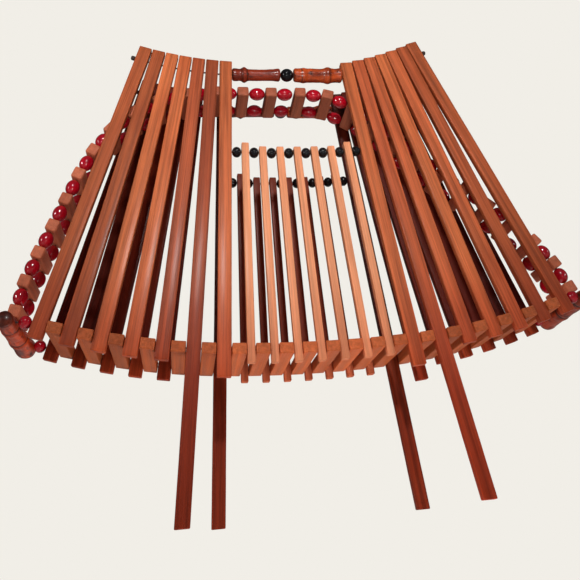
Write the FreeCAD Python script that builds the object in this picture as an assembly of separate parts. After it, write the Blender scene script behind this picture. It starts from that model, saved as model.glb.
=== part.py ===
import FreeCAD, Part
import math
import os

# Slatted bamboo and bead handbag on four leg slats.  Millimetres, +Z up, +X to the wearer's right,
# the front panel on the -Y side.  The origin is on the floor, midway between the feet.
#
# The base is a row of cross slats strung side by side on a front and a back cord, so it lies along a
# shallow bowl-shaped curve.  One flat slat stands between every two cross slats on each cord; the wide
# slats of the left and right fans and the slender slats of the centre make up a panel.

V = FreeCAD.Vector

# Base curve: flatter under the slender slats, rounder under the fans.
CENTRE_RADIUS = 697.9
FAN_RADIUS = 374.4
BASE_DEPTH = 41.8          # from the front cord to the back cord
PANEL_LEAN = 1.59          # degrees by which each closed panel leans in at the top

# Slats.
SLAT_WIDTH = 7.3
SLAT_THICKNESS = 4.0
SLENDER_WIDTH = 4.1
EDGE_CHAMFER = 0.45
FAN_SLATS = 7
SLENDER_SLATS = 7
TOP_REACH = 179.6          # cord to top end, fan slats
RIGHT_FAN_STEP = 1.2       # each right-hand fan slat tops out this much above its inner neighbour
SLENDER_REACH = 120.6      # cord to top end, slender slats
OUTER_SLENDER_EXTRA = 2.2  # the first and last slender slat stand this much taller
HEEL = 7.2                 # cord to bottom end, ordinary slats
LONG_HEEL = 14.4           # cord to bottom end, the slightly longer slat beside each leg
FLOOR_DROP = 82.2          # lowest point of the base cords above the floor

# Cross slats.
CROSS_THICKNESS = 7.3
CROSS_HEIGHT = 5.8
CROSS_LENGTH = 48.0
CROSS_ROUND = 1.5
STRING_GAP = 0.31          # play between a slat and the cross slat beside it

# Cords and their holes.
CORD = 0.9
CORD_HOLE = 2.3
SPACER_CORD = 0.8
SPACER_END_HOLE = 2.7
TOP_HOLE_DROP = 8.8        # top end of a fan slat down to the top cord
SPACER_HEIGHT = 117.0      # base cord up to the spacer cord
KNOT = 2.6

# Beads.
SPACER_BEAD_WIDTH = 5.4
SPACER_BEAD_DIAMETER = 6.0
RED_BEAD_LENGTH = 9.6
RED_BEAD_DIAMETER = 7.4
END_BEAD_LENGTH = 6.4
HANDLE_BEAD_LENGTH = 8.0
HANDLE_BEAD_DIAMETER = 7.6
BEAD_HOLE = 1.8

# Corner roots, at both ends of the base.
ROOT_X = 154.6
ROOT_RISE = 21.5           # above the lowest point of the base cords
ROOT_LENGTH = 54.0
ROOT_DIAMETER = 10.4
ROOT_FRONT_RADIUS = 5.5    # at the front cord
ROOT_BACK_RADIUS = 4.6     # at the back cord

# Handles.
HANDLE_X = 33.6
HANDLE_ROOT_DIAMETER = 7.8
HANDLE_GAP = 0.35
HANDLE_END_PLAY = 0.45     # between the right-hand root and the slat beside it
BACK_HANDLE_DROP = 4.0     # the back handle is strung this much lower than the front one
BACK_ROOT_SHARE = 0.88     # thickness of its roots against the front ones

# Strap.
BLOCK_THICKNESS = 6.9
BLOCK_HEIGHT = 6.3
BLOCK_LENGTH = 23.8
BLOCK_ROUND = 0.9
BLOCK_HOLE = 2.1
BEAD_ROW = 8.6             # strap centre line to either bead row
STRAP_BLOCKS = 27
LEFT_BLOCKS = 14
ROOT_TO_BLOCK = 9.4        # corner root centre to the centre of the first block
LEFT_SEGMENTS = (4, 4, 3, 3)
RIGHT_SEGMENTS = (4, 3, 3, 3)
OPEN_GAP = 0.9             # extra room where the strap loop is opened
# The closed strap rises from the left root, rounds a shoulder, crosses under the handles and falls
# almost straight to the right root.  Points are (x, height above the lowest point of the base cords).
STRAP_PATH = (
    (-154.6, 21.5), (-148.6, 48.0), (-134.6, 80.8), (-120.2, 114.2), (-105.0, 138.0),
    (-80.0, 157.0), (-52.0, 163.8), (-24.0, 163.9), (4.0, 163.6), (26.0, 161.8),
    (44.5, 151.0), (87.0, 108.6), (134.0, 65.0), (147.0, 46.0), (154.6, 21.5),
)

SIDE_PITCH = SLAT_WIDTH + CROSS_THICKNESS + 2 * STRING_GAP
CENTRE_PITCH = SLENDER_WIDTH + CROSS_THICKNESS + 2 * STRING_GAP
CENTRE_END = (SLENDER_SLATS - 1) / 2 * CENTRE_PITCH
FAN_START = CENTRE_END + SLENDER_WIDTH / 2 + CROSS_THICKNESS + 2 * STRING_GAP + SLAT_WIDTH / 2


# ---------------------------------------------------------------- the base curve and its stations

def on_curve(s):
    """Point (x, z) on the base curve at arc length s from its middle, and the slope angle there."""
    a = abs(s)
    sign = 1 if s >= 0 else -1
    inner = min(a, FAN_START) / CENTRE_RADIUS
    x = CENTRE_RADIUS * math.sin(inner)
    z = CENTRE_RADIUS * (1 - math.cos(inner))
    slope = inner
    if a > FAN_START:
        slope = inner + (a - FAN_START) / FAN_RADIUS
        x += FAN_RADIUS * (math.sin(slope) - math.sin(inner))
        z += FAN_RADIUS * (math.cos(inner) - math.cos(slope))
    return sign * x, z, sign * slope


def slender_station(k):
    """Arc length of slender slat k, counted 1 to 7 from the left."""
    return (k - (SLENDER_SLATS + 1) / 2) * CENTRE_PITCH


def fan_station(side, k):
    """Arc length of fan slat k, counted 1 (innermost) to 7 (outermost)."""
    return side * (FAN_START + (k - 1) * SIDE_PITCH)


def cross_stations():
    """Arc lengths of the cross slats: one in the middle of the gap between every two slats."""
    slats = [(slender_station(k), SLENDER_WIDTH) for k in range(1, SLENDER_SLATS + 1)]
    for side in (-1, 1):
        slats += [(fan_station(side, k), SLAT_WIDTH) for k in range(1, FAN_SLATS + 1)]
    slats.sort()
    return [(a + wa / 2 + b - wb / 2) / 2 for (a, wa), (b, wb) in zip(slats, slats[1:])]


# ---------------------------------------------------------------- small helpers

def chamfered_bar(width, thickness, bottom, top):
    """Straight bar along Z with chamfered long edges, its axis on the Z axis."""
    c = EDGE_CHAMFER
    w = width / 2
    t = thickness / 2
    corners = [(-w + c, -t), (w - c, -t), (w, -t + c), (w, t - c),
               (w - c, t), (-w + c, t), (-w, t - c), (-w, -t + c)]
    ring = [V(x, y, bottom) for x, y in corners]
    face = Part.Face(Part.makePolygon(ring + ring[:1]))
    return face.extrude(V(0, 0, top - bottom))


def cross_hole(diameter, height, reach):
    """Round hole along X at the given height."""
    return Part.makeCylinder(diameter / 2, 2 * reach, V(-reach, 0, height), V(1, 0, 0))


def smooth_curve(points):
    curve = Part.BSplineCurve()
    curve.interpolate(points)
    return curve


def spline_rod(points, diameter):
    """Round rod whose axis passes smoothly through the points, which lie in an upright plane."""
    curve = smooth_curve(points)
    start = curve.tangent(curve.FirstParameter)[0]
    pipe = Part.BRepOffsetAPI.MakePipeShell(Part.Wire(curve.toShape()))
    pipe.setBiNormalMode(V(0, 1, 0))
    pipe.add(Part.Wire(Part.makeCircle(diameter / 2, points[0], start)))
    pipe.build()
    pipe.makeSolid()
    return pipe.shape()


def straight_rod(a, b, diameter):
    return Part.makeCylinder(diameter / 2, (b - a).Length, a, b - a)


def oval_bead(length, diameter, hole):
    """Oval bead along X with its drilled hole, centred on the origin."""
    first = math.asin(hole / diameter)
    steps = 12
    points = []
    for i in range(steps + 1):
        turn = first + (math.pi - 2 * first) * i / steps
        points.append(V(-length / 2 * math.cos(turn), diameter / 2 * math.sin(turn), 0))
    curve = Part.BSplineCurve()
    curve.interpolate(points)
    face = Part.Face(Part.Wire([curve.toShape(), Part.makeLine(points[-1], points[0])]))
    return face.revolve(V(0, 0, 0), V(1, 0, 0), 360)


def turned_bar(length, profile):
    """Solid of revolution along X; profile gives (fraction of length, radius) from end to end."""
    points = [V(length * (f - 0.5), r, 0) for f, r in profile]
    curve = Part.BSplineCurve()
    curve.interpolate(points)
    first = V(points[0].x, 0, 0)
    last = V(points[-1].x, 0, 0)
    edges = [Part.makeLine(first, points[0]), curve.toShape(),
             Part.makeLine(points[-1], last), Part.makeLine(last, first)]
    face = Part.Face(Part.Wire(edges))
    return face.revolve(V(0, 0, 0), V(1, 0, 0), 360)


def placed(shape, angle_deg, base):
    """Turn a shape about the Y axis by -angle (so +X climbs by angle) and move it to base."""
    result = shape.copy()
    result.rotate(V(0, 0, 0), V(0, 1, 0), -angle_deg)
    result.translate(base)
    return result


# ---------------------------------------------------------------- panels

def cord_y(front):
    return -BASE_DEPTH / 2 if front else BASE_DEPTH / 2


def slat_point(front, s, height, sideways=0.0):
    """Point on the axis of the slat at station s, a given height above its base cord."""
    x, z, slope = on_curve(s)
    lean = math.radians(PANEL_LEAN)
    inward = 1 if front else -1
    rise = height * math.cos(lean)
    px = x - math.sin(slope) * rise + sideways * math.cos(slope)
    pz = z + math.cos(slope) * rise + sideways * math.sin(slope)
    return V(px, cord_y(front) + inward * height * math.sin(lean), FLOOR_DROP + pz)


def stand_slat(shape, front, s):
    """Lean a slat modelled upright at the origin and set it on its base cord."""
    x, z, slope = on_curve(s)
    result = shape.copy()
    result.rotate(V(0, 0, 0), V(1, 0, 0), -PANEL_LEAN if front else PANEL_LEAN)
    result.rotate(V(0, 0, 0), V(0, 1, 0), -math.degrees(slope))
    result.translate(V(x, cord_y(front), FLOOR_DROP + z))
    return result


def leg_number(front):
    """Fan slat that is prolonged into a leg: the second one in front, the innermost at the back."""
    return 2 if front else 1


def fan_top(side, k):
    return TOP_REACH + (RIGHT_FAN_STEP * (k - 1) if side > 0 else 0.0)


def leg_reach(s):
    """Length from the base cord to a little below the floor, where the leg is then trimmed flat."""
    x, z, slope = on_curve(s)
    return (FLOOR_DROP + z) / math.cos(slope) + 3.0


def trim_to_floor(shape):
    below = Part.makeBox(400, 200, 20, V(-200, -100, -20))
    return shape.cut(below)


def heel_of(front, side, k):
    if k == leg_number(front):
        return leg_reach(fan_station(side, k))
    if k == 3 - leg_number(front):
        return LONG_HEEL
    return HEEL


def fan_slat(front, side, k):
    top = fan_top(side, k)
    bar = chamfered_bar(SLAT_WIDTH, SLAT_THICKNESS, -heel_of(front, side, k), top)
    bar = bar.cut(cross_hole(CORD_HOLE, 0, SLAT_WIDTH))
    bar = bar.cut(cross_hole(CORD_HOLE, top - TOP_HOLE_DROP, SLAT_WIDTH))
    if k == 1:
        bar = bar.cut(cross_hole(SPACER_END_HOLE, SPACER_HEIGHT, SLAT_WIDTH))
        bar = bar.cut(cross_hole(CORD_HOLE, handle_height(front), SLAT_WIDTH))
    slat = stand_slat(bar, front, fan_station(side, k))
    return trim_to_floor(slat) if k == leg_number(front) else slat


def slender_slat(front, k):
    top = SLENDER_REACH
    if k in (1, SLENDER_SLATS):
        top += OUTER_SLENDER_EXTRA
    bar = chamfered_bar(SLENDER_WIDTH, SLAT_THICKNESS, -HEEL, top)
    bar = bar.cut(cross_hole(CORD_HOLE, 0, SLENDER_WIDTH))
    bar = bar.cut(cross_hole(CORD_HOLE * 0.7, SPACER_HEIGHT, SLENDER_WIDTH))
    return stand_slat(bar, front, slender_station(k))


def top_cord(front, side):
    """Cord through the tops of one fan, starting in a round knot outside the outermost slat."""
    clear = side * (SLAT_WIDTH / 2 + 0.1)
    outer = fan_top(side, FAN_SLATS) - TOP_HOLE_DROP
    points = [slat_point(front, fan_station(side, FAN_SLATS), outer, clear)]
    for k in range(FAN_SLATS, 0, -1):
        height = fan_top(side, k) - TOP_HOLE_DROP
        points.append(slat_point(front, fan_station(side, k), height))
    curve = smooth_curve(points)
    away = curve.tangent(curve.FirstParameter)[0] * -1
    knot = Part.makeCylinder(KNOT / 2, KNOT, points[0], away)
    rims = [edge for edge in knot.Edges if len(edge.Vertexes) == 1]
    return spline_rod(points, CORD).fuse(knot.makeFillet(KNOT * 0.3, rims))


def spacer_bead(front, at, slope_deg):
    bead = oval_bead(SPACER_BEAD_WIDTH, SPACER_BEAD_DIAMETER, BEAD_HOLE)
    return placed(bead, slope_deg, at)


def spacer_points(front):
    """Where the spacer cord crosses the slats, from the left fan to the right fan."""
    stations = [fan_station(-1, 1)]
    stations += [slender_station(k) for k in range(1, SLENDER_SLATS + 1)]
    stations.append(fan_station(1, 1))
    return [slat_point(front, s, SPACER_HEIGHT) for s in stations]


def spacer_beads(front):
    points = spacer_points(front)
    widths = [SLAT_WIDTH] + [SLENDER_WIDTH] * SLENDER_SLATS + [SLAT_WIDTH]
    beads = []
    for a, b, wa, wb in zip(points, points[1:], widths, widths[1:]):
        along = (b - a).normalize()
        middle = (a + along * (wa / 2) + b - along * (wb / 2)) * 0.5
        beads.append(spacer_bead(front, middle, math.degrees(math.atan2(along.z, along.x))))
    return beads


def spacer_cord(front):
    points = spacer_points(front)
    inset = SLAT_WIDTH / 2 - 2.5
    points[0] = points[0] + V(inset, 0, 0)
    points[-1] = points[-1] - V(inset, 0, 0)
    return spline_rod(points, SPACER_CORD)


def handle_height(front):
    """Height of the handle cord above the base cord, along the innermost fan slats."""
    return TOP_REACH - TOP_HOLE_DROP - (0.0 if front else BACK_HANDLE_DROP)


def handle_axis(front):
    """Point at the middle of the handle cord."""
    a = slat_point(front, fan_station(-1, 1), handle_height(front))
    return V(0, a.y, a.z)


def handle_cord(front):
    centre = handle_axis(front)
    reach = HANDLE_X + 2.6
    return straight_rod(centre - V(reach, 0, 0), centre + V(reach, 0, 0), CORD)


def handle_spans():
    """Start and end in X of the left root, the bead and the right root."""
    bead = (-0.6 - HANDLE_BEAD_LENGTH / 2, -0.6 + HANDLE_BEAD_LENGTH / 2)
    left = (-HANDLE_X, bead[0] - HANDLE_GAP)
    right = (bead[1] + HANDLE_GAP, HANDLE_X - HANDLE_END_PLAY)
    return left, bead, right


def drilled(shape, hole, length):
    return shape.cut(Part.makeCylinder(hole / 2, length * 1.2, V(-0.6 * length, 0, 0), V(1, 0, 0)))


def handle_root(front, span, profile):
    length = span[1] - span[0]
    bar = drilled(turned_bar(length, profile), BEAD_HOLE, length)
    bar.translate(handle_axis(front) + V((span[0] + span[1]) / 2, 0, 0))
    return bar


def root_radius(front):
    return HANDLE_ROOT_DIAMETER / 2 * (1.0 if front else BACK_ROOT_SHARE)


def left_root_profile(front):
    """One joint of bamboo root with its swollen knuckle near the left end."""
    r = root_radius(front)
    return [(0, r * 0.9), (0.08, r * 1.0), (0.19, r * 1.08), (0.27, r * 1.16), (0.33, r * 1.06),
            (0.42, r * 0.93), (0.6, r * 0.9), (0.8, r * 0.94), (0.95, r * 1.0), (1, r * 0.96)]


def right_root_profile(front):
    """One joint with a cut ring near the left end and a knuckle near the right end."""
    r = root_radius(front)
    return [(0, r * 1.1), (0.1, r * 1.17), (0.15, r * 1.09), (0.21, r * 1.2), (0.4, r * 1.18),
            (0.58, r * 1.2), (0.7, r * 1.28), (0.78, r * 1.17), (0.9, r * 1.13), (1, r * 1.07)]


# ---------------------------------------------------------------- base

def cross_slat(s):
    """Bar along Y with rounded ends, drilled for both base cords."""
    bar = Part.makeBox(CROSS_THICKNESS, CROSS_LENGTH, CROSS_HEIGHT,
                       V(-CROSS_THICKNESS / 2, -CROSS_LENGTH / 2, -CROSS_HEIGHT / 2))
    ends = []
    for edge in bar.Edges:
        middle = edge.CenterOfMass
        if abs(abs(middle.y) - CROSS_LENGTH / 2) < 0.01 and abs(abs(middle.z) - CROSS_HEIGHT / 2) < 0.01:
            ends.append(edge)
    bar = bar.makeFillet(CROSS_ROUND, ends)
    for y in (cord_y(True), cord_y(False)):
        bar = bar.cut(Part.makeCylinder(CORD_HOLE / 2, 12, V(-6, y, 0), V(1, 0, 0)))
    x, z, slope = on_curve(s)
    return placed(bar, math.degrees(slope), V(x, 0, FLOOR_DROP + z))


def root_centre(side):
    return V(side * ROOT_X, 0, FLOOR_DROP + ROOT_RISE)


def base_cord(front):
    """Cord through all slats and cross slats of one side of the base, ending in the corner roots."""
    y = cord_y(front)
    end = fan_station(1, FAN_SLATS)
    steps = 16
    points = []
    for i in range(steps + 1):
        s = end * (2 * i / steps - 1)
        x, z, slope = on_curve(s)
        points.append(V(x, y, FLOOR_DROP + z))
    left = root_centre(-1) + V(1.5, y, 0)
    right = root_centre(1) + V(-1.5, y, 0)
    return spline_rod([left] + points + [right], CORD)


def root_approach(front, side):
    """The outer face of the outermost slat at the cord, and the root's surface facing it."""
    outer = slat_point(front, fan_station(side, FAN_SLATS), 0, side * (SLAT_WIDTH / 2))
    surface = ROOT_FRONT_RADIUS if front else ROOT_BACK_RADIUS
    root = root_centre(side) + V(-side * surface, cord_y(front), 0)
    return outer, root


def end_bead(front, side):
    """Red bead on the base cord between a corner root and the outermost slat."""
    outer, root = root_approach(front, side)
    middle = (outer + root) * 0.5
    slope = math.degrees(math.atan2(root.z - outer.z, root.x - outer.x))
    return placed(oval_bead(END_BEAD_LENGTH, RED_BEAD_DIAMETER * 0.95, BEAD_HOLE), slope, middle)


def corner_root(side):
    """Bamboo root of three joints lying front to back at one end of the base, thicker in front."""
    r = ROOT_DIAMETER / 2
    profile = [(0, r * 1.0), (0.05, r * 1.07), (0.18, r * 1.02), (0.33, r * 1.1), (0.4, r * 0.98),
               (0.47, r * 1.03), (0.6, r * 0.93), (0.69, r * 0.98), (0.75, r * 0.88), (0.81, r * 0.93),
               (0.93, r * 0.86), (1, r * 0.8)]
    bar = turned_bar(ROOT_LENGTH, profile)
    bar.rotate(V(0, 0, 0), V(0, 0, 1), 90)
    bar.translate(root_centre(side))
    for front in (True, False):
        outer, root = root_approach(front, side)
        centre = root_centre(side) + V(0, cord_y(front), 0)
        toward = outer - centre
        bar = bar.cut(Part.makeCylinder(CORD_HOLE / 2, 8, centre - toward.normalize() * 0.6, toward))
    return bar


# ---------------------------------------------------------------- strap

def strap_edge():
    curve = Part.BSplineCurve()
    curve.interpolate([V(x, 0, FLOOR_DROP + z) for x, z in STRAP_PATH])
    return curve.toShape()


def strap_stations():
    """Block centres along the strap, left root to right root, with the slope of the strap there."""
    edge = strap_edge()
    run = edge.Length - 2 * ROOT_TO_BLOCK - OPEN_GAP
    pitch = run / (STRAP_BLOCKS - 1)
    stations = []
    for i in range(STRAP_BLOCKS):
        along = ROOT_TO_BLOCK + i * pitch
        if i >= LEFT_BLOCKS:
            along += OPEN_GAP
        t = edge.getParameterByLength(along)
        p = edge.valueAt(t)
        d = edge.tangentAt(t)
        stations.append((p, math.degrees(math.atan2(d.z, d.x))))
    return stations


def bead_centres(stations):
    """Centre and slope of the bead pair after each block but the last."""
    centres = []
    for i in range(len(stations) - 1):
        a = stations[i][0]
        b = stations[i + 1][0]
        along = b - a
        middle = (a + b) * 0.5
        if i == LEFT_BLOCKS - 1:
            middle = middle - along.normalize() * (OPEN_GAP / 2)
            along = b - a
        centres.append((middle, math.degrees(math.atan2(along.z, along.x))))
    return centres


def strap_block(station):
    """Short wooden block across the strap, drilled for the two strap cords."""
    point, slope = station
    block = Part.makeBox(BLOCK_THICKNESS, BLOCK_LENGTH, BLOCK_HEIGHT,
                         V(-BLOCK_THICKNESS / 2, -BLOCK_LENGTH / 2, -BLOCK_HEIGHT / 2))
    block = block.makeFillet(BLOCK_ROUND, block.Edges)
    for y in (-BEAD_ROW, BEAD_ROW):
        block = block.cut(Part.makeCylinder(BLOCK_HOLE / 2, 12, V(-6, y, 0), V(1, 0, 0)))
    return placed(block, slope, point)


def strap_bead_pair(centre):
    point, slope = centre
    bead = oval_bead(RED_BEAD_LENGTH, RED_BEAD_DIAMETER, BEAD_HOLE)
    return [placed(bead, slope, point + V(0, y, 0)) for y in (-BEAD_ROW, BEAD_ROW)]


def strap_cord_pair(first, others):
    """Two cords from the outer face of the first block through the given points."""
    point, slope, outward = first
    d = V(math.cos(math.radians(slope)), 0, math.sin(math.radians(slope)))
    start = point + d * (outward * (BLOCK_THICKNESS / 2))
    cords = []
    for y in (-BEAD_ROW, BEAD_ROW):
        points = [start + V(0, y, 0), point + V(0, y, 0)]
        points += [p + V(0, y, 0) for p in others]
        cords.append(spline_rod(points, CORD))
    return cords


def segment_blocks(side):
    """Block indices of each strap segment, counted outward-in from the corner root of that side."""
    sizes = LEFT_SEGMENTS if side < 0 else RIGHT_SEGMENTS
    groups = []
    at = 0 if side < 0 else STRAP_BLOCKS - 1
    step = 1 if side < 0 else -1
    for size in sizes:
        groups.append([at + step * i for i in range(size)])
        at += step * size
    return groups


def segment_pairs(side, group, last):
    """Bead pairs carried by a segment: those between its blocks and the one leading on."""
    pairs = [i if side < 0 else i - 1 for i in group]
    if last and side > 0:
        pairs = pairs[:-1]
    return pairs


def strap_segment(side, number, stations, centres):
    groups = segment_blocks(side)
    group = groups[number]
    last = number == len(groups) - 1
    pairs = segment_pairs(side, group, last)
    blocks = [strap_block(stations[i]) for i in group]
    beads = []
    for i in pairs:
        beads += strap_bead_pair(centres[i])
    through = []
    for i, block in enumerate(group):
        if i > 0:
            through.append(stations[block][0])
        if i < len(pairs):
            through.append(centres[pairs[i]][0])
    first = (stations[group[0]][0], stations[group[0]][1], side)
    return blocks, beads, strap_cord_pair(first, through)


# ---------------------------------------------------------------- assembly

def panel_nodes(front):
    name = "front" if front else "back"
    leg = leg_number(front)
    nodes = {}
    for side, word in ((-1, "left"), (1, "right")):
        others = [k for k in range(1, FAN_SLATS + 1) if k != leg]
        nodes[name + "_" + word + "_slats"] = [fan_slat(front, side, k) for k in others]
        nodes[name + "_" + word + "_leg_slat"] = [fan_slat(front, side, leg)]
        nodes[name + "_" + word + "_top_cord"] = [top_cord(front, side)]
    slender = range(1, SLENDER_SLATS + 1)
    nodes[name + "_centre_slats"] = [slender_slat(front, k) for k in slender]
    nodes[name + "_spacer_beads"] = spacer_beads(front)
    nodes[name + "_spacer_cord"] = [spacer_cord(front)]
    left, middle, right = handle_spans()
    bead = oval_bead(HANDLE_BEAD_LENGTH, HANDLE_BEAD_DIAMETER, BEAD_HOLE)
    bead.translate(handle_axis(front) + V((middle[0] + middle[1]) / 2, 0, 0))
    nodes[name + "_handle_cord"] = [handle_cord(front)]
    nodes[name + "_handle_root_left"] = [handle_root(front, left, left_root_profile(front))]
    nodes[name + "_handle_bead"] = [bead]
    nodes[name + "_handle_root_right"] = [handle_root(front, right, right_root_profile(front))]
    return nodes


def base_nodes():
    corners = [(True, -1), (True, 1), (False, -1), (False, 1)]
    return {
        "base_cross_slats": [cross_slat(s) for s in cross_stations()],
        "corner_root_left": [corner_root(-1)],
        "corner_root_right": [corner_root(1)],
        "base_cords": [base_cord(True), base_cord(False)],
        "base_end_beads": [end_bead(front, side) for front, side in corners],
    }


def strap_nodes():
    stations = strap_stations()
    centres = bead_centres(stations)
    nodes = {}
    for side, word in ((-1, "left"), (1, "right")):
        for number in range(len(segment_blocks(side))):
            blocks, beads, cords = strap_segment(side, number, stations, centres)
            stem = "strap_" + word + "_" + str(number + 1)
            nodes[stem + "_blocks"] = blocks
            nodes[stem + "_beads"] = beads
            nodes[stem + "_cords"] = cords
    return nodes


def main():
    os.makedirs("parts", exist_ok=True)
    nodes = {}
    nodes.update(base_nodes())
    nodes.update(panel_nodes(True))
    nodes.update(panel_nodes(False))
    nodes.update(strap_nodes())
    for name, solids in nodes.items():
        shape = solids[0] if len(solids) == 1 else Part.makeCompound(solids)
        shape.exportStep("parts/" + name + ".step")


main()
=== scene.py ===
import math
import random

import bpy
from mathutils import Matrix, Vector, noise


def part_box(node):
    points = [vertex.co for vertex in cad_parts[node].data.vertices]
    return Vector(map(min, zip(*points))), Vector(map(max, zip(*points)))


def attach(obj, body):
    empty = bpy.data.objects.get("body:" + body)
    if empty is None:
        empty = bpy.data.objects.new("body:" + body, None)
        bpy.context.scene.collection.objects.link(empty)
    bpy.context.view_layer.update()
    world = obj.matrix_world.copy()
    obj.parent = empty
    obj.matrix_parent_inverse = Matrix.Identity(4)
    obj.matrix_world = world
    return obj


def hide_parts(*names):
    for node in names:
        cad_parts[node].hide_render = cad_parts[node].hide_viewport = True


# Slatted bamboo and bead handbag on four slat legs, in the same frame as the CAD model: +Z up, front
# panel on the -Y side.  Every slat, root, block and bead is a piece of its own, set on its CAD solid;
# the cords are the CAD solids themselves.  Shapes are worked out in millimetres and go to Blender in
# metres; the seeds are arbitrary places in the noise.

MM = 0.001

# Base curve, slats and lean, as in the CAD model (millimetres and degrees).
CENTRE_RADIUS = 697.9
FAN_RADIUS = 374.4
BASE_DEPTH = 41.8
PANEL_LEAN = 1.59
FLOOR_DROP = 82.2
SLAT_WIDTH = 7.3
SLAT_THICKNESS = 4.0
SLENDER_WIDTH = 4.1
FAN_SLATS = 7
SLENDER_SLATS = 7
MIDDLE_SLENDER = (SLENDER_SLATS + 1) // 2
TOP_REACH = 179.6
RIGHT_FAN_STEP = 1.2
SLENDER_REACH = 120.6
OUTER_SLENDER_EXTRA = 2.2
HEEL = 7.2
LONG_HEEL = 14.4
CROSS_THICKNESS = 7.3
CROSS_HEIGHT = 5.8
CROSS_LENGTH = 48.0
STRING_GAP = 0.31

SIDE_PITCH = SLAT_WIDTH + CROSS_THICKNESS + 2 * STRING_GAP
CENTRE_PITCH = SLENDER_WIDTH + CROSS_THICKNESS + 2 * STRING_GAP
FAN_START = ((MIDDLE_SLENDER - 1) * CENTRE_PITCH + SLENDER_WIDTH / 2 + CROSS_THICKNESS + 2 * STRING_GAP
             + SLAT_WIDTH / 2)

# Strap blocks, and beads as (length along the cord, diameter).
BLOCK_WIDTH = 6.9
BLOCK_THICKNESS = 6.3
BLOCK_HALF_LENGTH = 11.9
STRAP_BEAD = (9.6, 7.4)
END_BEAD = (6.4, 7.0)
END_BEAD_SLOPE = 0.3
SPACER_BEAD = (5.4, 6.0)
HANDLE_BEAD = (8.0, 7.6)
BEAD_HOLE = 1.8
BEAD_DIMPLE = 0.9

# Roots: swellings, grooves and dark rings as (place from 0 to 1, half width, size).
CORNER_RADIUS = 5.45
CORNER_TAPER = 1.15
CORNER_KNOTS = ((0.36, 0.05, 0.45), (0.71, 0.04, 0.35), (0.06, 0.05, 0.3))
CORNER_GROOVES = ((0.405, 0.018, 0.55), (0.75, 0.018, 0.55))
CORNER_RINGS = ((0.405, 0.014, 0.9), (0.75, 0.014, 0.9), (0.02, 0.02, 0.5), (1.0, 0.03, 0.8))
# The left root's tint is raised as painted light, where the lamps fall off at the edge; the right one is
# darker.
CORNER_TINT = {"left": (1.5, 1.1, 0.9), "right": (0.8, 0.55, 0.5)}
BACK_HANDLE_SHARE = 0.88
# Handle roots: radius, swellings, dark rings, seed, tint.
HANDLE_ROOTS = {
    "left": (3.35, ((0.25, 0.055, 1.3), (0.06, 0.07, 0.3), (0.97, 0.09, 0.45)),
             ((0.2, 0.03, 0.7), (0.31, 0.015, 0.8), (0.0, 0.02, 0.7)), 2.0, (0.6, 0.36, 0.25)),
    "right": (4.15, ((0.2, 0.05, 0.35), (0.7, 0.07, 0.8), (0.97, 0.06, 0.3)),
              ((0.15, 0.012, 0.9), (0.74, 0.02, 0.7), (1.0, 0.02, 0.7)), 7.0, (1.2, 1.1, 0.7)),
}

# Stain of each wide slat, innermost first: brightness, then how red (0) or gold (1) it is.
LEFT_STAIN = ((0.93, 0.8), (0.61, 0.3), (0.78, 0.4), (0.97, 0.9), (0.95, 1.0), (0.68, 0.7), (0.77, 0.7))
RIGHT_STAIN = ((0.9, 0.9), (0.9, 0.4), (0.92, 0.6), (0.98, 0.9), (0.94, 0.6), (0.73, 0.5), (0.75, 0.6))
RED_STAIN = (0.46, 0.080, 0.030)
GOLD_STAIN = (0.56, 0.138, 0.044)
# Painted shade: the back panel, inside the bag, is made darker and redder than the front.
BACK_PANEL_PAINTED_SHADE = (0.85, 0.62, 0.55)
# Painted shadow of the base on the back legs.
BACK_LEG_PAINTED_SHADE = 0.55
# Brightness of each slender slat and strap block, and their colours.
CENTRE_STAIN = (1.0, 0.98, 1.02, 0.97, 0.96, 1.03, 1.0)
BLOCK_STAIN = (1.0, 0.9, 1.08, 0.95, 0.85, 1.05)
SLENDER_COLOUR = (0.76, 0.290, 0.140)
CROSS_COLOUR = (0.48, 0.108, 0.034)
BLOCK_COLOUR = (0.46, 0.125, 0.062)
# What patches and pores are multiplied by, then the painted shade towards the foot of a slat, and the
# painted shade on the back panel above its foot.
PATCH_STAIN = (0.72, 0.5, 0.42)
FOOT_PAINTED_SHADE = (0.95, 0.52, 0.45)
ABOVE_FOOT_PAINTED_SHADE = (0.30, 0.17, 0.15)
UNTINTED = (1.0, 1.0, 1.0)

# Studio, in metres.
BACKGROUND = (0.880, 0.855, 0.799, 1.0)
FILL = (0.95, 0.97, 1.0, 1.0)
FLOOR_REACH = 3.0
FLOOR_LEVEL = -0.0004
CAMERA_LENS = 43.87
CAMERA_PLACE = (-0.0751, -0.3651, -0.0130)
CAMERA_TURN = (110.116, 5.563, -8.187)

# Sockets of Blender's Mix node when it mixes colours.
MIX_FACTOR, MIX_A, MIX_B, MIX_RESULT = 0, 6, 7, 2
# How far apart, in noise units, two pieces of one material can lie.
PIECE_SHIFT = 37.0


# ---------------------------------------------------------------- where things stand

def on_curve(s):
    """Point (x, z) on the base curve at arc length s from its middle, and the slope angle there."""
    a = abs(s)
    sign = 1 if s >= 0 else -1
    slope = min(a, FAN_START) / CENTRE_RADIUS
    x = CENTRE_RADIUS * math.sin(slope)
    z = CENTRE_RADIUS * (1 - math.cos(slope))
    if a > FAN_START:
        inner = slope
        slope = inner + (a - FAN_START) / FAN_RADIUS
        x += FAN_RADIUS * (math.sin(slope) - math.sin(inner))
        z += FAN_RADIUS * (math.cos(inner) - math.cos(slope))
    return sign * x, z, sign * slope


def fan_arc(side, k):
    """Arc length at which the k-th slat of a fan stands; side is -1 on the left and 1 on the right."""
    return side * (FAN_START + (k - 1) * SIDE_PITCH)


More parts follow.
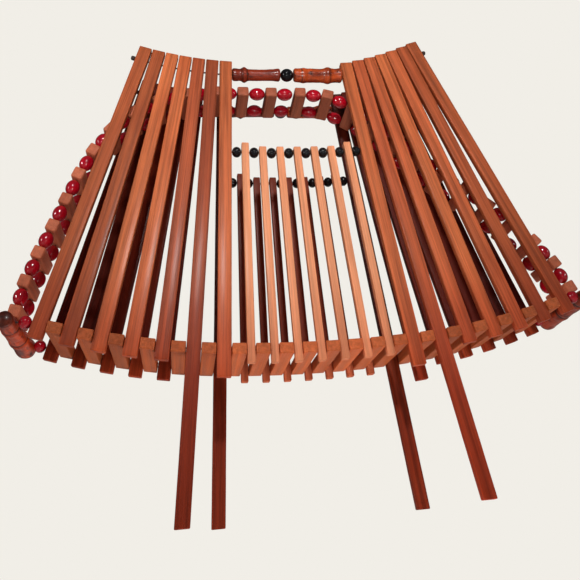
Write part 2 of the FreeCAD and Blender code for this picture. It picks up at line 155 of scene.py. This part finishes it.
def slat_place(front, s):
    """Placement of a slat modelled along Z with its base cord at the origin."""
    x, z, slope = on_curve(s)
    lean = math.radians(-PANEL_LEAN if front else PANEL_LEAN)
    y = -BASE_DEPTH / 2 if front else BASE_DEPTH / 2
    turn = Matrix.Rotation(-slope, 4, "Y") @ Matrix.Rotation(lean, 4, "X")
    return Matrix.Translation(Vector((x, y, FLOOR_DROP + z)) * MM) @ turn


def lying_place(centre, slope):
    """Placement of a bar modelled along Z that lies front to back, tilted by slope about Y."""
    tilt = Matrix.Rotation(-slope, 4, "Y")
    return Matrix.Translation(centre) @ tilt @ Matrix.Rotation(math.radians(90), 4, "X")


def along_x_place(centre, slope):
    """Placement of a piece modelled along Z whose axis lies along X, climbing by slope."""
    return Matrix.Translation(centre) @ Matrix.Rotation(math.radians(90) - slope, 4, "Y")


def row_slope(centres, i):
    """Slope of a row of centres at its i-th one, from the neighbours."""
    before = centres[max(i - 1, 0)]
    after = centres[min(i + 1, len(centres) - 1)]
    return math.atan2(after.z - before.z, after.x - before.x)


def solid_centres(node):
    """Centres of the separate solids of one CAD node, from left to right."""
    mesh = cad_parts[node].data
    corner = {}
    for v in mesh.vertices:
        corner.setdefault(tuple(round(c * 1e5) for c in v.co), len(corner))
    index = [corner[tuple(round(c * 1e5) for c in v.co)] for v in mesh.vertices]
    group = list(range(len(corner)))

    def root(i):
        while group[i] != i:
            group[i] = group[group[i]]
            i = group[i]
        return i

    for face in mesh.polygons:
        first = root(index[face.vertices[0]])
        for v in face.vertices[1:]:
            group[root(index[v])] = first
            first = root(first)
    boxes = {}
    for v in mesh.vertices:
        key = root(index[v.index])
        low, high = boxes.get(key, (v.co.copy(), v.co.copy()))
        boxes[key] = (Vector(map(min, low, v.co)), Vector(map(max, high, v.co)))
    centres = [(low + high) / 2 for low, high in boxes.values()]
    return sorted(centres, key=lambda c: (round(c.x, 4), c.y))


# ---------------------------------------------------------------- meshes

def ring_mesh(name, rings, sharp=50):
    """Closed mesh from a stack of rings of points, going up, capped at both ends."""
    count = len(rings[0])
    faces = [tuple(reversed(range(count)))]
    for r in range(len(rings) - 1):
        low = r * count
        high = low + count
        for i in range(count):
            j = (i + 1) % count
            faces.append((low + i, low + j, high + j, high + i))
    last = (len(rings) - 1) * count
    faces.append(tuple(range(last, last + count)))
    mesh = bpy.data.meshes.new(name)
    mesh.from_pydata([tuple(c * MM for c in p) for ring in rings for p in ring], [], faces)
    mesh.shade_smooth()
    mesh.set_sharp_from_angle(angle=math.radians(sharp))
    return mesh


def rounded_section(width, thickness, corner):
    """Outline of a rectangle with rounded corners, anticlockwise."""
    steps = 4
    points = []
    for quarter in range(4):
        middle = math.pi / 4 + quarter * math.pi / 2
        cx = math.copysign(width / 2 - corner, math.cos(middle))
        cy = math.copysign(thickness / 2 - corner, math.sin(middle))
        for k in range(steps + 1):
            a = (quarter + k / steps) * math.pi / 2
            points.append((cx + corner * math.cos(a), cy + corner * math.sin(a)))
    return points


def bar_mesh(name, width, thickness, bottom, top, corner, soften=0.5, uneven=0.05, end_width=0.0,
             seed=0.0):
    """Rounded bar along Z, its faces slightly uneven and its ends softened.

    The ends narrow as they are softened; end_width, from 0 to 1, holds that back across the width."""
    ring_spacing = 3.5
    least_corner = 0.12
    levels = []
    for k in range(4):
        a = k / 3 * math.pi / 2
        levels.append((bottom + soften * (1 - math.cos(a)), soften * (1 - math.sin(a))))
    steps = max(2, int((top - bottom) / ring_spacing))
    for k in range(1, steps):
        levels.append((bottom + soften + (top - bottom - 2 * soften) * k / steps, 0.0))
    for k in range(4):
        a = (1 - k / 3) * math.pi / 2
        levels.append((top - soften * (1 - math.cos(a)), soften * (1 - math.sin(a))))
    rings = []
    for z, inset in levels:
        wide = width - 2 * inset * (1 - end_width)
        thick = thickness - 2 * inset
        ring = []
        for x, y in rounded_section(wide, thick, max(corner - inset, least_corner)):
            shift = uneven * noise.noise(Vector((seed, z * 0.035, 0.0)))
            swell = 1 + uneven * 0.25 * noise.noise(Vector((x * 0.4, y * 0.4, z * 0.12 + seed)))
            ring.append((x * swell + shift, y * swell, z))
        rings.append(ring)
    return ring_mesh(name, rings)


def turned_mesh(name, length, profile, steps, uneven, bend=0.0, seed=0.0):
    """Round piece along Z, slightly uneven and bowed; profile(t) gives the radius at t from 0 to 1."""
    around = 32
    rings = []
    for k in range(steps + 1):
        t = k / steps
        radius = profile(t)
        z = length * (t - 0.5)
        off = bend * (4 * t * (1 - t) - 0.67)
        ring = []
        for i in range(around):
            a = 2 * math.pi * i / around
            rough = noise.noise(Vector((math.cos(a) * 0.9 + seed, math.sin(a) * 0.9, z * 0.16)))
            fine = noise.noise(Vector((math.cos(a) * 3 + seed, math.sin(a) * 3, z * 0.7)))
            r = radius * (1 + uneven * (rough + 0.35 * fine))
            ring.append((r * math.cos(a) + off, r * math.sin(a), z))
        rings.append(ring)
    return ring_mesh(name, rings, 60)


def bead_mesh(name, length, diameter, around=28):
    """Oval bead along Z whose drilled hole dips in at both ends."""
    hole = BEAD_HOLE / 2
    first = math.asin(2 * hole / diameter)
    steps = 18
    outline = [(-length / 2 * math.cos(first) + BEAD_DIMPLE, hole * 0.8)]
    for k in range(steps + 1):
        a = first + (math.pi - 2 * first) * k / steps
        outline.append((-length / 2 * math.cos(a), diameter / 2 * math.sin(a)))
    outline.append((length / 2 * math.cos(first) - BEAD_DIMPLE, hole * 0.8))
    rings = []
    for z, r in outline:
        rings.append([(r * math.cos(2 * math.pi * i / around), r * math.sin(2 * math.pi * i / around), z)
                      for i in range(around)])
    return ring_mesh(name, rings, 60)


def swelling(t, at, width, height):
    """Smooth hump of that height round the place at."""
    return height * math.exp(-((t - at) / width) ** 2)


def swellings(t, humps):
    return sum(swelling(t, *hump) for hump in humps)


def add_object(name, data):
    obj = bpy.data.objects.new(name, data)
    bpy.context.scene.collection.objects.link(obj)
    return obj


def piece(mesh, place, body, material, tint, node):
    """One visible piece, riding on its CAD body and standing for its CAD node."""
    obj = add_object(mesh.name, mesh)
    obj.matrix_world = place
    obj.color = (*tint, 1.0)
    mesh.materials.append(material)
    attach(obj, body)
    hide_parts(node)


# ---------------------------------------------------------------- materials

class Nodes:
    """Short-hand for building one material's node tree."""

    def __init__(self, name):
        self.material = bpy.data.materials.new(name)
        self.material.use_nodes = True
        self.tree = self.material.node_tree
        self.shader = self.tree.nodes["Principled BSDF"]

    def add(self, kind, **values):
        """New node; each value sets its property of that name, or else its input."""
        node = self.tree.nodes.new(kind)
        for key, value in values.items():
            if hasattr(node, key):
                setattr(node, key, value)
            else:
                node.inputs[key.replace("_", " ")].default_value = value
        return node

    def link(self, source, target):
        self.tree.links.new(source, target)

    def feed(self, socket, value):
        """Give a socket a number, a colour or another node's output."""
        if isinstance(value, (int, float)):
            socket.default_value = value
        elif isinstance(value, tuple):
            socket.default_value = (*value, 1.0)
        else:
            self.link(value, socket)

    def stretched(self, sx, sy, sz, offset=0.0):
        """Object coordinates (metres) scaled per axis and shifted differently for every piece."""
        place = self.add("ShaderNodeTexCoord").outputs["Object"]
        shift = self.add("ShaderNodeVectorMath", operation="MULTIPLY_ADD")
        info = self.add("ShaderNodeObjectInfo")
        self.link(place, shift.inputs[0])
        shift.inputs[1].default_value = (sx, sy, sz)
        scaled = self.add("ShaderNodeMath", operation="MULTIPLY_ADD")
        self.link(info.outputs["Random"], scaled.inputs[0])
        scaled.inputs[1].default_value = PIECE_SHIFT
        scaled.inputs[2].default_value = offset
        self.link(scaled.outputs[0], shift.inputs[2])
        return shift.outputs[0]

    def noise(self, vector, detail, roughness=0.55):
        node = self.add("ShaderNodeTexNoise", Scale=1.0, Detail=detail, Roughness=roughness)
        self.link(vector, node.inputs["Vector"])
        return node.outputs["Fac"]

    def ramp(self, source, low, high, out_low, out_high):
        """Map low..high to out_low..out_high and clamp it."""
        node = self.add("ShaderNodeMapRange", clamp=True)
        self.link(source, node.inputs["Value"])
        ends = (("From Min", low), ("From Max", high), ("To Min", out_low), ("To Max", out_high))
        for key, value in ends:
            node.inputs[key].default_value = value
        return node.outputs["Result"]

    def math(self, operation, a, b):
        node = self.add("ShaderNodeMath", operation=operation)
        self.feed(node.inputs[0], a)
        self.feed(node.inputs[1], b)
        return node.outputs[0]

    def mix(self, factor, a, b, blend="MIX"):
        node = self.add("ShaderNodeMix", data_type="RGBA", blend_type=blend)
        self.feed(node.inputs[MIX_FACTOR], factor)
        self.feed(node.inputs[MIX_A], a)
        self.feed(node.inputs[MIX_B], b)
        return node.outputs[MIX_RESULT]

    def multiply(self, a, b):
        return self.mix(1.0, a, b, "MULTIPLY")

    def height(self):
        """Height above the piece's own origin, metres."""
        parts = self.add("ShaderNodeSeparateXYZ")
        self.link(self.add("ShaderNodeTexCoord").outputs["Object"], parts.inputs[0])
        return parts.outputs["Z"]

    def path(self, kind):
        return self.add("ShaderNodeLightPath").outputs[kind]

    def tint(self):
        return self.add("ShaderNodeObjectInfo").outputs["Color"]

    def bump(self, height, strength, distance):
        node = self.add("ShaderNodeBump", Strength=strength, Distance=distance)
        self.link(height, node.inputs["Height"])
        self.link(node.outputs["Normal"], self.shader.inputs["Normal"])

    def set(self, **values):
        """Set or link inputs of the shader by name."""
        for key, value in values.items():
            self.feed(self.shader.inputs[key.replace("_", " ")], value)


def dyed(colour, factor):
    return tuple(factor * c for c in colour)


def bamboo(name, fibre, blotch, roughness, coat, sparkle=0.0, foot=0.0, above_foot_shade=0.0):
    """Varnished split bamboo: fibres along Z, blotches of stain and pores.

    fibre and blotch are how strong those are, sparkle adds small chips to the relief, foot is how strongly
    painted shade darkens the colour towards the foot, and the last argument paints shade over everything
    above the foot, as on the back panel inside the bag."""
    n = Nodes(name)
    fibres = n.noise(n.stretched(1700, 1700, 26), 8, 0.75)
    streaks = n.noise(n.stretched(420, 420, 9, 3.0), 3)
    clouds = n.noise(n.stretched(70, 70, 26, 8.0), 3)
    pores = n.noise(n.stretched(2600, 2600, 240, 5.0), 2)
    grain = n.math("ADD", n.ramp(fibres, 0.3, 0.7, -fibre, fibre), n.ramp(streaks, 0.3, 0.7, -fibre, fibre))
    colour = n.multiply(n.tint(), n.math("ADD", n.math("MULTIPLY", grain, 0.8), 1.0))
    deep = n.multiply(colour, PATCH_STAIN)
    colour = n.mix(n.ramp(clouds, 0.45, 0.8, 0.0, blotch), colour, deep)
    colour = n.mix(n.ramp(pores, 0.68, 0.8, 0.0, 0.45), colour, deep)
    # Painted shade: darker and redder towards the foot, where the light falls off.
    colour = n.mix(n.ramp(n.height(), -0.03, 0.045, foot, 0.0), colour, n.multiply(colour, FOOT_PAINTED_SHADE))
    # Painted shade over everything above the foot, as on the back panel inside the bag.
    colour = n.mix(n.ramp(n.height(), -0.003, 0.014, 0.0, above_foot_shade), colour, n.multiply(colour, ABOVE_FOOT_PAINTED_SHADE))
    n.set(Base_Color=colour, Roughness=n.ramp(streaks, 0.3, 0.7, roughness - 0.06, roughness + 0.1))
    n.set(Coat_Weight=coat, Coat_Roughness=0.2, Specular_IOR_Level=0.15)
    height = n.math("ADD", fibres, n.math("MULTIPLY", clouds, 0.6))
    if sparkle:
        chips = n.noise(n.stretched(900, 900, 900, 2.0), 3)
        height = n.math("ADD", height, n.math("MULTIPLY", chips, sparkle))
    n.bump(height, 0.7, 0.0004)
    return n.material


def root_material(name):
    """Bamboo root: red-brown under a thin varnish, with black-brown rings and patches."""
    n = Nodes(name)
    patches = n.noise(n.stretched(190, 190, 45), 4)
    spots = n.noise(n.stretched(330, 330, 190, 4.0), 3)
    rings = n.noise(n.stretched(40, 40, 900, 6.0), 2)
    dark = n.add("ShaderNodeAttribute", attribute_name="dark").outputs["Fac"]
    warm = n.mix(n.ramp(patches, 0.35, 0.65, 0.0, 1.0), (0.50, 0.075, 0.018), (0.10, 0.010, 0.003))
    colour = n.multiply(warm, n.tint())
    colour = n.mix(n.ramp(spots, 0.56, 0.7, 0.0, 0.85), colour, (0.022, 0.005, 0.003))
    colour = n.mix(n.ramp(rings, 0.6, 0.75, 0.0, 0.35), colour, (0.05, 0.015, 0.008))
    colour = n.mix(dark, colour, (0.03, 0.01, 0.007))
    n.set(Base_Color=colour, Roughness=n.ramp(spots, 0.3, 0.7, 0.3, 0.45))
    n.set(Coat_Weight=0.12, Coat_Roughness=0.12, Specular_IOR_Level=0.3)
    n.bump(n.math("ADD", n.math("MULTIPLY", rings, 0.5), patches), 0.5, 0.0005)
    return n.material


def bead_material(name, colour, shade, gloss):
    """Lacquered bead: slightly uneven colour, a little wear and an orange-peel skin."""
    n = Nodes(name)
    clouds = n.noise(n.stretched(260, 260, 160), 3)
    peel = n.noise(n.stretched(900, 900, 700, 3.0), 2)
    wear = n.noise(n.stretched(1600, 1600, 900, 9.0), 3)
    tone = n.mix(n.ramp(clouds, 0.35, 0.65, 0.0, 1.0), colour, shade)
    n.set(Base_Color=n.mix(n.ramp(wear, 0.72, 0.8, 0.0, 0.3), tone, dyed(colour, 0.4)))
    n.set(Roughness=n.ramp(wear, 0.3, 0.7, 0.12, 0.2))
    n.set(Coat_Weight=gloss, Coat_Roughness=0.04, Specular_IOR_Level=gloss)
    n.bump(peel, 0.12, 0.0002)
    return n.material


def cord_material(name):
    """Dark waxed cord with a twist."""
    n = Nodes(name)
    place = n.add("ShaderNodeTexCoord").outputs["Object"]
    twist = n.add("ShaderNodeTexWave", Scale=900.0, Distortion=1.5, Detail=2.0)
    n.link(place, twist.inputs["Vector"])
    fuzz = n.add("ShaderNodeTexNoise", Scale=1800.0, Detail=4.0)
    n.link(place, fuzz.inputs["Vector"])
    strands = n.math("MULTIPLY", twist.outputs["Fac"], fuzz.outputs["Fac"])
    n.set(Base_Color=n.mix(strands, (0.012, 0.007, 0.006), (0.09, 0.035, 0.022)))
    n.set(Roughness=n.ramp(fuzz.outputs["Fac"], 0.3, 0.7, 0.5, 0.75))
    n.bump(twist.outputs["Fac"], 0.5, 0.0001)
    return n.material


# ---------------------------------------------------------------- the pieces

def stain(brightness, gold):
    """Stain colour of a wide slat, from red-brown to gold-brown."""
    return tuple(brightness * (r + (g - r) * gold) for r, g in zip(RED_STAIN, GOLD_STAIN))


def aged(tint, front):
    """The back panel, inside the bag, is given a darker, redder colour than the front: painted shade."""
    return tint if front else tuple(c * d for c, d in zip(tint, BACK_PANEL_PAINTED_SHADE))


def panel_word(front):
    return "front" if front else "back"


def side_word(side):
    return "left" if side < 0 else "right"


def leg_number(front):
    """Which slat of a fan, counted from the middle, is the leg."""
    return 2 if front else 1


def fan_heel(front, side, k):
    """How far a fan slat reaches below the base cord.

    A leg reaches the floor, and the other of the two innermost slats a little further than the rest."""
    if k == leg_number(front):
        x, z, slope = on_curve(fan_arc(side, k))
        return (FLOOR_DROP + z) / math.cos(slope) / math.cos(math.radians(PANEL_LEAN))
    return LONG_HEEL if k == 3 - leg_number(front) else HEEL


def trim_level(mesh, heel, slope):
    """Cut the end of a leg parallel to the floor."""
    end_part = 2.0
    for v in mesh.vertices:
        if v.co.z < (end_part - heel) * MM:
            v.co.z -= v.co.x * math.tan(slope)


def fan_slat(front, side, k, material):
    fan = panel_word(front) + "_" + side_word(side)
    is_leg = k == leg_number(front)
    arc = fan_arc(side, k)
    heel = fan_heel(front, side, k)
    top = TOP_REACH + (RIGHT_FAN_STEP * (k - 1) if side > 0 else 0.0)
    seed = k * 3.7 + side * 11.3 + (0 if front else 5.1)
    mesh = bar_mesh(fan + "_slat_" + str(k), SLAT_WIDTH, SLAT_THICKNESS, -heel, top, corner=0.5, seed=seed)
    # Slats of the back panel get painted shade.
    tint = aged(stain(*(LEFT_STAIN if side < 0 else RIGHT_STAIN)[k - 1]), front)
    if is_leg:
        trim_level(mesh, heel, on_curve(arc)[2])
        # Painted shadow of the base on the back legs.
        if not front:
            tint = dyed(tint, BACK_LEG_PAINTED_SHADE)
    node = fan + ("_leg_slat" if is_leg else "_slats")
    piece(mesh, slat_place(front, arc), fan + "_fan", material, tint, node)


def slender_slat(front, k, material):
    panel = panel_word(front)
    top = SLENDER_REACH + (OUTER_SLENDER_EXTRA if k in (1, SLENDER_SLATS) else 0.0)
    name = panel + "_slender_slat_" + str(k)
    mesh = bar_mesh(name, SLENDER_WIDTH, SLAT_THICKNESS, -HEEL, top, corner=0.45, soften=0.7, seed=k * 2.3)
    # Slats of the back panel get painted shade.
    tint = aged(dyed(SLENDER_COLOUR, CENTRE_STAIN[k - 1]), front)
    place = slat_place(front, (k - MIDDLE_SLENDER) * CENTRE_PITCH)
    piece(mesh, place, panel + "_centre", material, tint, panel + "_centre_slats")


def cross_slats(material):
    """The floor of the bag, palest in the middle."""
    centres = solid_centres("base_cross_slats")
    for i, centre in enumerate(centres):
        mesh = bar_mesh("cross_slat_" + str(i + 1), CROSS_THICKNESS, CROSS_HEIGHT, -CROSS_LENGTH / 2,
                        CROSS_LENGTH / 2, corner=0.5, soften=0.7, uneven=0.12, end_width=0.5, seed=i * 1.9)
        tone = 0.95 + 0.12 * math.sin(i * 2.4) + 0.35 * math.exp(-(centre.x / 0.07) ** 2)
        piece(mesh, lying_place(centre, row_slope(centres, i)), "base", material, dyed(CROSS_COLOUR, tone),
              "base_cross_slats")


def darken(mesh, length, rings):
    """Mark the dark rings of a root for its material."""
    shade = mesh.attributes.new("dark", "FLOAT", "POINT")
    for v in mesh.vertices:
        t = v.co.z / MM / length + 0.5
        wobble = 0.012 * noise.noise(v.co * 300)
        shade.data[v.index].value = min(1.0, swellings(t + wobble, rings))


def tucked(t, least, rise):
    """Factor that rounds both ends of a root in."""
    return min(1.0, least + rise * min(t, 1 - t))


def corner_root(side, material):
    word = side_word(side)
    low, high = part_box("corner_root_" + word)
    length = (high.y - low.y) / MM

    def profile(t):
        radius = CORNER_RADIUS - CORNER_TAPER * t + swellings(t, CORNER_KNOTS)
        return (radius - swellings(t, CORNER_GROOVES)) * tucked(t, 0.84, 8)

    mesh = turned_mesh("root_corner_" + word, length, profile, steps=110, uneven=0.06, seed=side * 4.0)
    darken(mesh, length, CORNER_RINGS)
    piece(mesh, lying_place((low + high) / 2, 0.0), "base", material, CORNER_TINT[word],
          "corner_root_" + word)


def handle_root(panel, word, material):
    radius, knots, rings, seed, tint = HANDLE_ROOTS[word]
    share = 1.0 if panel == "front" else BACK_HANDLE_SHARE
    node = panel + "_handle_root_" + word
    low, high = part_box(node)
    length = (high.x - low.x) / MM

    def profile(t):
        return share * (radius + swellings(t, knots)) * tucked(t, 0.86, 6)

    mesh = turned_mesh(node + "_piece", length, profile, steps=90, uneven=0.055, bend=0.35, seed=seed)
    darken(mesh, length, rings)
    piece(mesh, along_x_place((low + high) / 2, 0.0), node, material, tint, node)


def handles(material, black):
    for panel in ("front", "back"):
        handle_root(panel, "left", material)
        handle_root(panel, "right", material)
        node = panel + "_handle_bead"
        low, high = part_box(node)
        mesh = bead_mesh(node + "_piece", *HANDLE_BEAD, around=36)
        piece(mesh, along_x_place((low + high) / 2, 0.0), node, black, UNTINTED, node)


def spacer_beads(black):
    for panel in ("front", "back"):
        node = panel + "_spacer_beads"
        for i, centre in enumerate(solid_centres(node)):
            mesh = bead_mesh(panel + "_spacer_bead_" + str(i + 1), *SPACER_BEAD)
            place = along_x_place(centre, math.atan2(centre.x, CENTRE_RADIUS * MM))
            piece(mesh, place, panel + "_centre", black, UNTINTED, node)


def end_beads(red):
    for i, centre in enumerate(solid_centres("base_end_beads")):
        mesh = bead_mesh("base_end_bead_" + str(i + 1), *END_BEAD)
        place = along_x_place(centre, math.copysign(END_BEAD_SLOPE, centre.x))
        piece(mesh, place, "base", red, UNTINTED, "base_end_beads")


def strap(wood, red):
    """Blocks and beads of the strap, each on the segment that carries it."""
    segments = ["strap_left_" + str(i) for i in range(1, 5)]
    segments += ["strap_right_" + str(i) for i in range(4, 0, -1)]
    blocks = [(centre, body) for body in segments for centre in solid_centres(body + "_blocks")]
    centres = [centre for centre, body in blocks]
    dice = random.Random(12)
    for i, (centre, body) in enumerate(blocks):
        width = BLOCK_WIDTH * dice.uniform(0.97, 1.0)
        mesh = bar_mesh("strap_block_" + str(i + 1), width, BLOCK_THICKNESS, -BLOCK_HALF_LENGTH,
                        BLOCK_HALF_LENGTH, corner=0.95, soften=0.9, uneven=0.1, seed=i * 4.1)
        # Painted light: blocks farther from the middle are made brighter, where the key lamp falls off.
        tone = BLOCK_STAIN[i % len(BLOCK_STAIN)] * (0.82 + 4.0 * abs(centre.x))
        piece(mesh, lying_place(centre, row_slope(centres, i)), body, wood, dyed(BLOCK_COLOUR, tone),
              body + "_blocks")
    beads = [(centre, body) for body in segments for centre in solid_centres(body + "_beads")]
    for i, (centre, body) in enumerate(beads):
        nearest = sorted(centres, key=lambda c: (c.x - centre.x) ** 2 + (c.z - centre.z) ** 2)[:2]
        a, b = sorted(nearest, key=lambda c: c.x)
        mesh = bead_mesh("strap_bead_" + str(i + 1), *STRAP_BEAD)
        place = along_x_place(centre, math.atan2(b.z - a.z, b.x - a.x))
        piece(mesh, place, body, red, UNTINTED, body + "_beads")


def cords(material):
    """The cords are shown as CAD solids and only get their material."""
    for name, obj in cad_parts.items():
        if name.endswith(("_cord", "_cords")):
            obj.data.materials.clear()
            obj.data.materials.append(material)


# ---------------------------------------------------------------- studio

def backdrop():
    """Even pale background for the camera; dim light on the object, a little more in reflections."""
    world = bpy.data.worlds.new("studio")
    bpy.context.scene.world = world
    world.use_nodes = True
    nodes, links = world.node_tree.nodes, world.node_tree.links
    nodes.clear()
    path = nodes.new("ShaderNodeLightPath")
    seen = nodes.new("ShaderNodeBackground")
    seen.inputs["Color"].default_value = BACKGROUND
    dim = nodes.new("ShaderNodeBackground")
    dim.inputs["Color"].default_value = FILL
    strength = nodes.new("ShaderNodeMapRange")
    links.new(path.outputs["Is Glossy Ray"], strength.inputs["Value"])
    strength.inputs["To Min"].default_value = 0.04
    strength.inputs["To Max"].default_value = 0.08
    links.new(strength.outputs["Result"], dim.inputs["Strength"])
    mix = nodes.new("ShaderNodeMixShader")
    out = nodes.new("ShaderNodeOutputWorld")
    links.new(path.outputs["Is Camera Ray"], mix.inputs["Fac"])
    links.new(dim.outputs["Background"], mix.inputs[1])
    links.new(seen.outputs["Background"], mix.inputs[2])
    links.new(mix.outputs["Shader"], out.inputs["Surface"])


def floor():
    """Pale floor just under the feet: clear from below, where the camera is, and it casts no shadow.

    It glows a little, for the camera only."""
    mesh = bpy.data.meshes.new("floor")
    signs = ((-1, -1), (1, -1), (1, 1), (-1, 1))
    corners = [(FLOOR_REACH * x, FLOOR_REACH * y, FLOOR_LEVEL) for x, y in signs]
    mesh.from_pydata(corners, [], [(0, 1, 2, 3)])
    obj = add_object("floor", mesh)
    n = Nodes("floor")
    grain = n.add("ShaderNodeTexNoise", Scale=60.0, Detail=4.0)
    pale = n.mix(n.ramp(grain.outputs["Fac"], 0.3, 0.7, 0.0, 1.0), (0.78, 0.76, 0.71), (0.82, 0.8, 0.75))
    glow = n.math("MULTIPLY", n.path("Is Camera Ray"), 0.5)
    n.set(Base_Color=pale, Emission_Color=pale, Emission_Strength=glow, Roughness=0.9)
    clear = n.add("ShaderNodeBsdfTransparent")
    backfacing = n.add("ShaderNodeNewGeometry").outputs["Backfacing"]
    mix = n.add("ShaderNodeMixShader")
    n.link(n.math("MAXIMUM", backfacing, n.path("Is Shadow Ray")), mix.inputs[0])
    n.link(n.shader.outputs[0], mix.inputs[1])
    n.link(clear.outputs[0], mix.inputs[2])
    n.link(mix.outputs[0], n.tree.nodes["Material Output"].inputs["Surface"])
    mesh.materials.append(n.material)


def aimed(name, kind, place, target, watts):
    """New light of one kind, pointing at target: its data and its object."""
    light = bpy.data.lights.new(name, kind)
    light.energy = watts
    obj = add_object(name, light)
    obj.location = place
    obj.rotation_euler = (Vector(target) - Vector(place)).to_track_quat("-Z", "Y").to_euler()
    return light, obj


def lamp(name, place, target, size, watts, glossy=True):
    """Soft rectangular light; without glossy it makes no highlights."""
    light, obj = aimed(name, "AREA", place, target, watts)
    light.shape = "RECTANGLE"
    light.size, light.size_y = size
    obj.visible_glossy = glossy


def spot(name, place, target, angle, radius, watts):
    """Small hard light whose beam fades towards its edge."""
    light, obj = aimed(name, "SPOT", place, target, watts)
    light.spot_size = math.radians(angle)
    light.spot_blend = 1.0
    light.shadow_soft_size = radius


def camera():
    """Low camera in front of the left half, looking up at the bag."""
    data = bpy.data.cameras.new("camera")
    data.sensor_width = 36.0
    data.lens = CAMERA_LENS
    data.clip_start = 0.01
    obj = add_object("camera", data)
    obj.location = CAMERA_PLACE
    obj.rotation_euler = tuple(math.radians(a) for a in CAMERA_TURN)
    bpy.context.scene.camera = obj


# ---------------------------------------------------------------- build

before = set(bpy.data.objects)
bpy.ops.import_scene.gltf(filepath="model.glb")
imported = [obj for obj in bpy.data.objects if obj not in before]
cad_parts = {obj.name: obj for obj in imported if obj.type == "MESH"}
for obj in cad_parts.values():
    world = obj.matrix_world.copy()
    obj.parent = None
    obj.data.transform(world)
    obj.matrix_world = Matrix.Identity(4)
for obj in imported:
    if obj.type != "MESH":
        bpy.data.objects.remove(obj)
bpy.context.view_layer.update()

wide = bamboo("bamboo_wide", fibre=0.42, blotch=0.55, roughness=0.43, coat=0.06, foot=1.0)
slender = bamboo("bamboo_slender", fibre=0.24, blotch=0.35, roughness=0.45, coat=0.04, foot=0.5)
# The back panel's materials paint shade over it above the foot.
wide_painted_shade = bamboo("bamboo_wide_old", fibre=0.42, blotch=0.55, roughness=0.43, coat=0.06, foot=0.8, above_foot_shade=1.0)
slender_painted_shade = bamboo("bamboo_slender_old", fibre=0.18, blotch=0.3, roughness=0.46, coat=0.04, foot=0.5,
                     above_foot_shade=1.0)
cross = bamboo("bamboo_cross", fibre=0.26, blotch=0.5, roughness=0.42, coat=0.0, sparkle=2.2)
block_wood = bamboo("block_wood", fibre=0.2, blotch=0.4, roughness=0.5, coat=0.04, sparkle=0.5)
root_wood = root_material("bamboo_root")
red_lacquer = bead_material("red_lacquer", (0.52, 0.001, 0.013), (0.34, 0.001, 0.010), 0.6)
black_lacquer = bead_material("black_lacquer", (0.003, 0.003, 0.004), (0.006, 0.005, 0.006), 0.22)
waxed_cord = cord_material("waxed_cord")

for is_front in (True, False):
    for fan_side in (-1, 1):
        for number in range(1, FAN_SLATS + 1):
            fan_slat(is_front, fan_side, number, wide if is_front else wide_painted_shade)
    for number in range(1, SLENDER_SLATS + 1):
        slender_slat(is_front, number, slender if is_front else slender_painted_shade)
cross_slats(cross)
corner_root(-1, root_wood)
corner_root(1, root_wood)
handles(root_wood, black_lacquer)
spacer_beads(black_lacquer)
end_beads(red_lacquer)
strap(block_wood, red_lacquer)
cords(waxed_cord)

backdrop()
floor()
spot("key", (-0.03, -0.62, 0.42), (0.005, 0.0, 0.205), 47, 0.03, 10.4)
spot("low_front", (-0.03, -0.5, -0.06), (0.0, 0.0, 0.255), 42, 0.02, 4.0)
lamp("under", (0.0, -0.05, -0.28), (0.0, 0.0, 0.1), (0.36, 0.12), 0.75)
lamp("left", (-0.7, -0.35, 0.3), (0.0, 0.0, 0.2), (0.08, 0.08), 1.3)
lamp("right", (0.72, -0.4, 0.25), (0.0, 0.0, 0.18), (0.08, 0.08), 0.6)
lamp("back", (0.25, 0.8, 0.5), (0.0, 0.0, 0.15), (0.6, 0.4), 4.0, glossy=False)
camera()
bpy.context.scene.view_settings.view_transform = "Standard"
